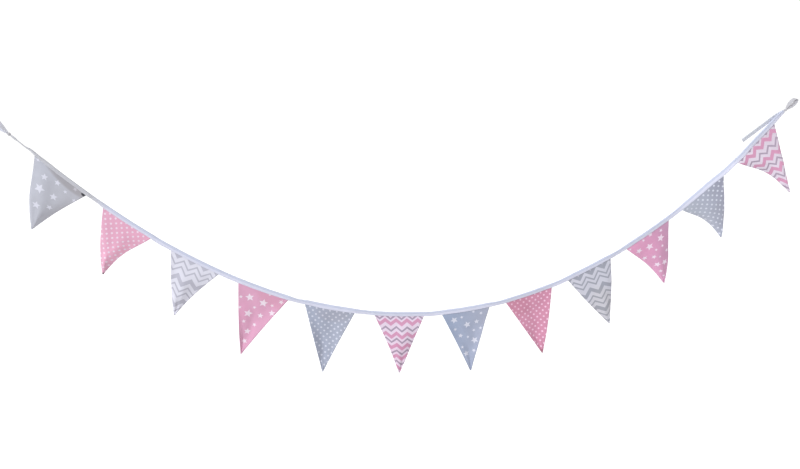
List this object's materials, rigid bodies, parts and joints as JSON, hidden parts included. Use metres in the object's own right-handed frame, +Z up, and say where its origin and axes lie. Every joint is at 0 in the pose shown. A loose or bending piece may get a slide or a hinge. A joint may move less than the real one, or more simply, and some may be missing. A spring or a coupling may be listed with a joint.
{
  "type": "fabric bunting",
  "caption": "Hanging string of triangular printed cotton pennants sewn into a folded white tape, with a knotted loop at each end.",
  "frame": {"origin": "inside of the left loop's far bend, where it hangs", "axes": "+X level along the span from the left loop to the right loop, +Y away from the side that is looked at, +Z up"},
  "size_m": [2.2039, 0.0775, 0.8637],
  "materials": {
    "tape": "plain white cotton tape, matte",
    "grey_star": "grey cotton with white stars, matte",
    "pink_dot": "pink cotton with white dots, matte",
    "grey_chevron": "white cotton with grey chevrons, matte",
    "pink_star": "pink cotton with white stars, matte",
    "grey_dot": "grey cotton with white dots, matte",
    "pink_chevron": "white cotton with pink and grey chevrons, matte"
  },
  "bodies": {
    "root": {"binding": "tape", "left_loop": "tape", "right_loop": "tape", "left_knot": "tape", "right_knot": "tape", "right_tail": "tape", "pennant_01": "grey_star", "pennant_02": "pink_dot", "pennant_03": "grey_chevron", "pennant_04": "pink_star", "pennant_05": "grey_dot", "pennant_06": "pink_chevron", "pennant_07": "grey_star", "pennant_08": "pink_dot", "pennant_09": "grey_chevron", "pennant_10": "pink_star", "pennant_11": "grey_dot", "pennant_12": "pink_chevron"}
  },
  "joints": []
}
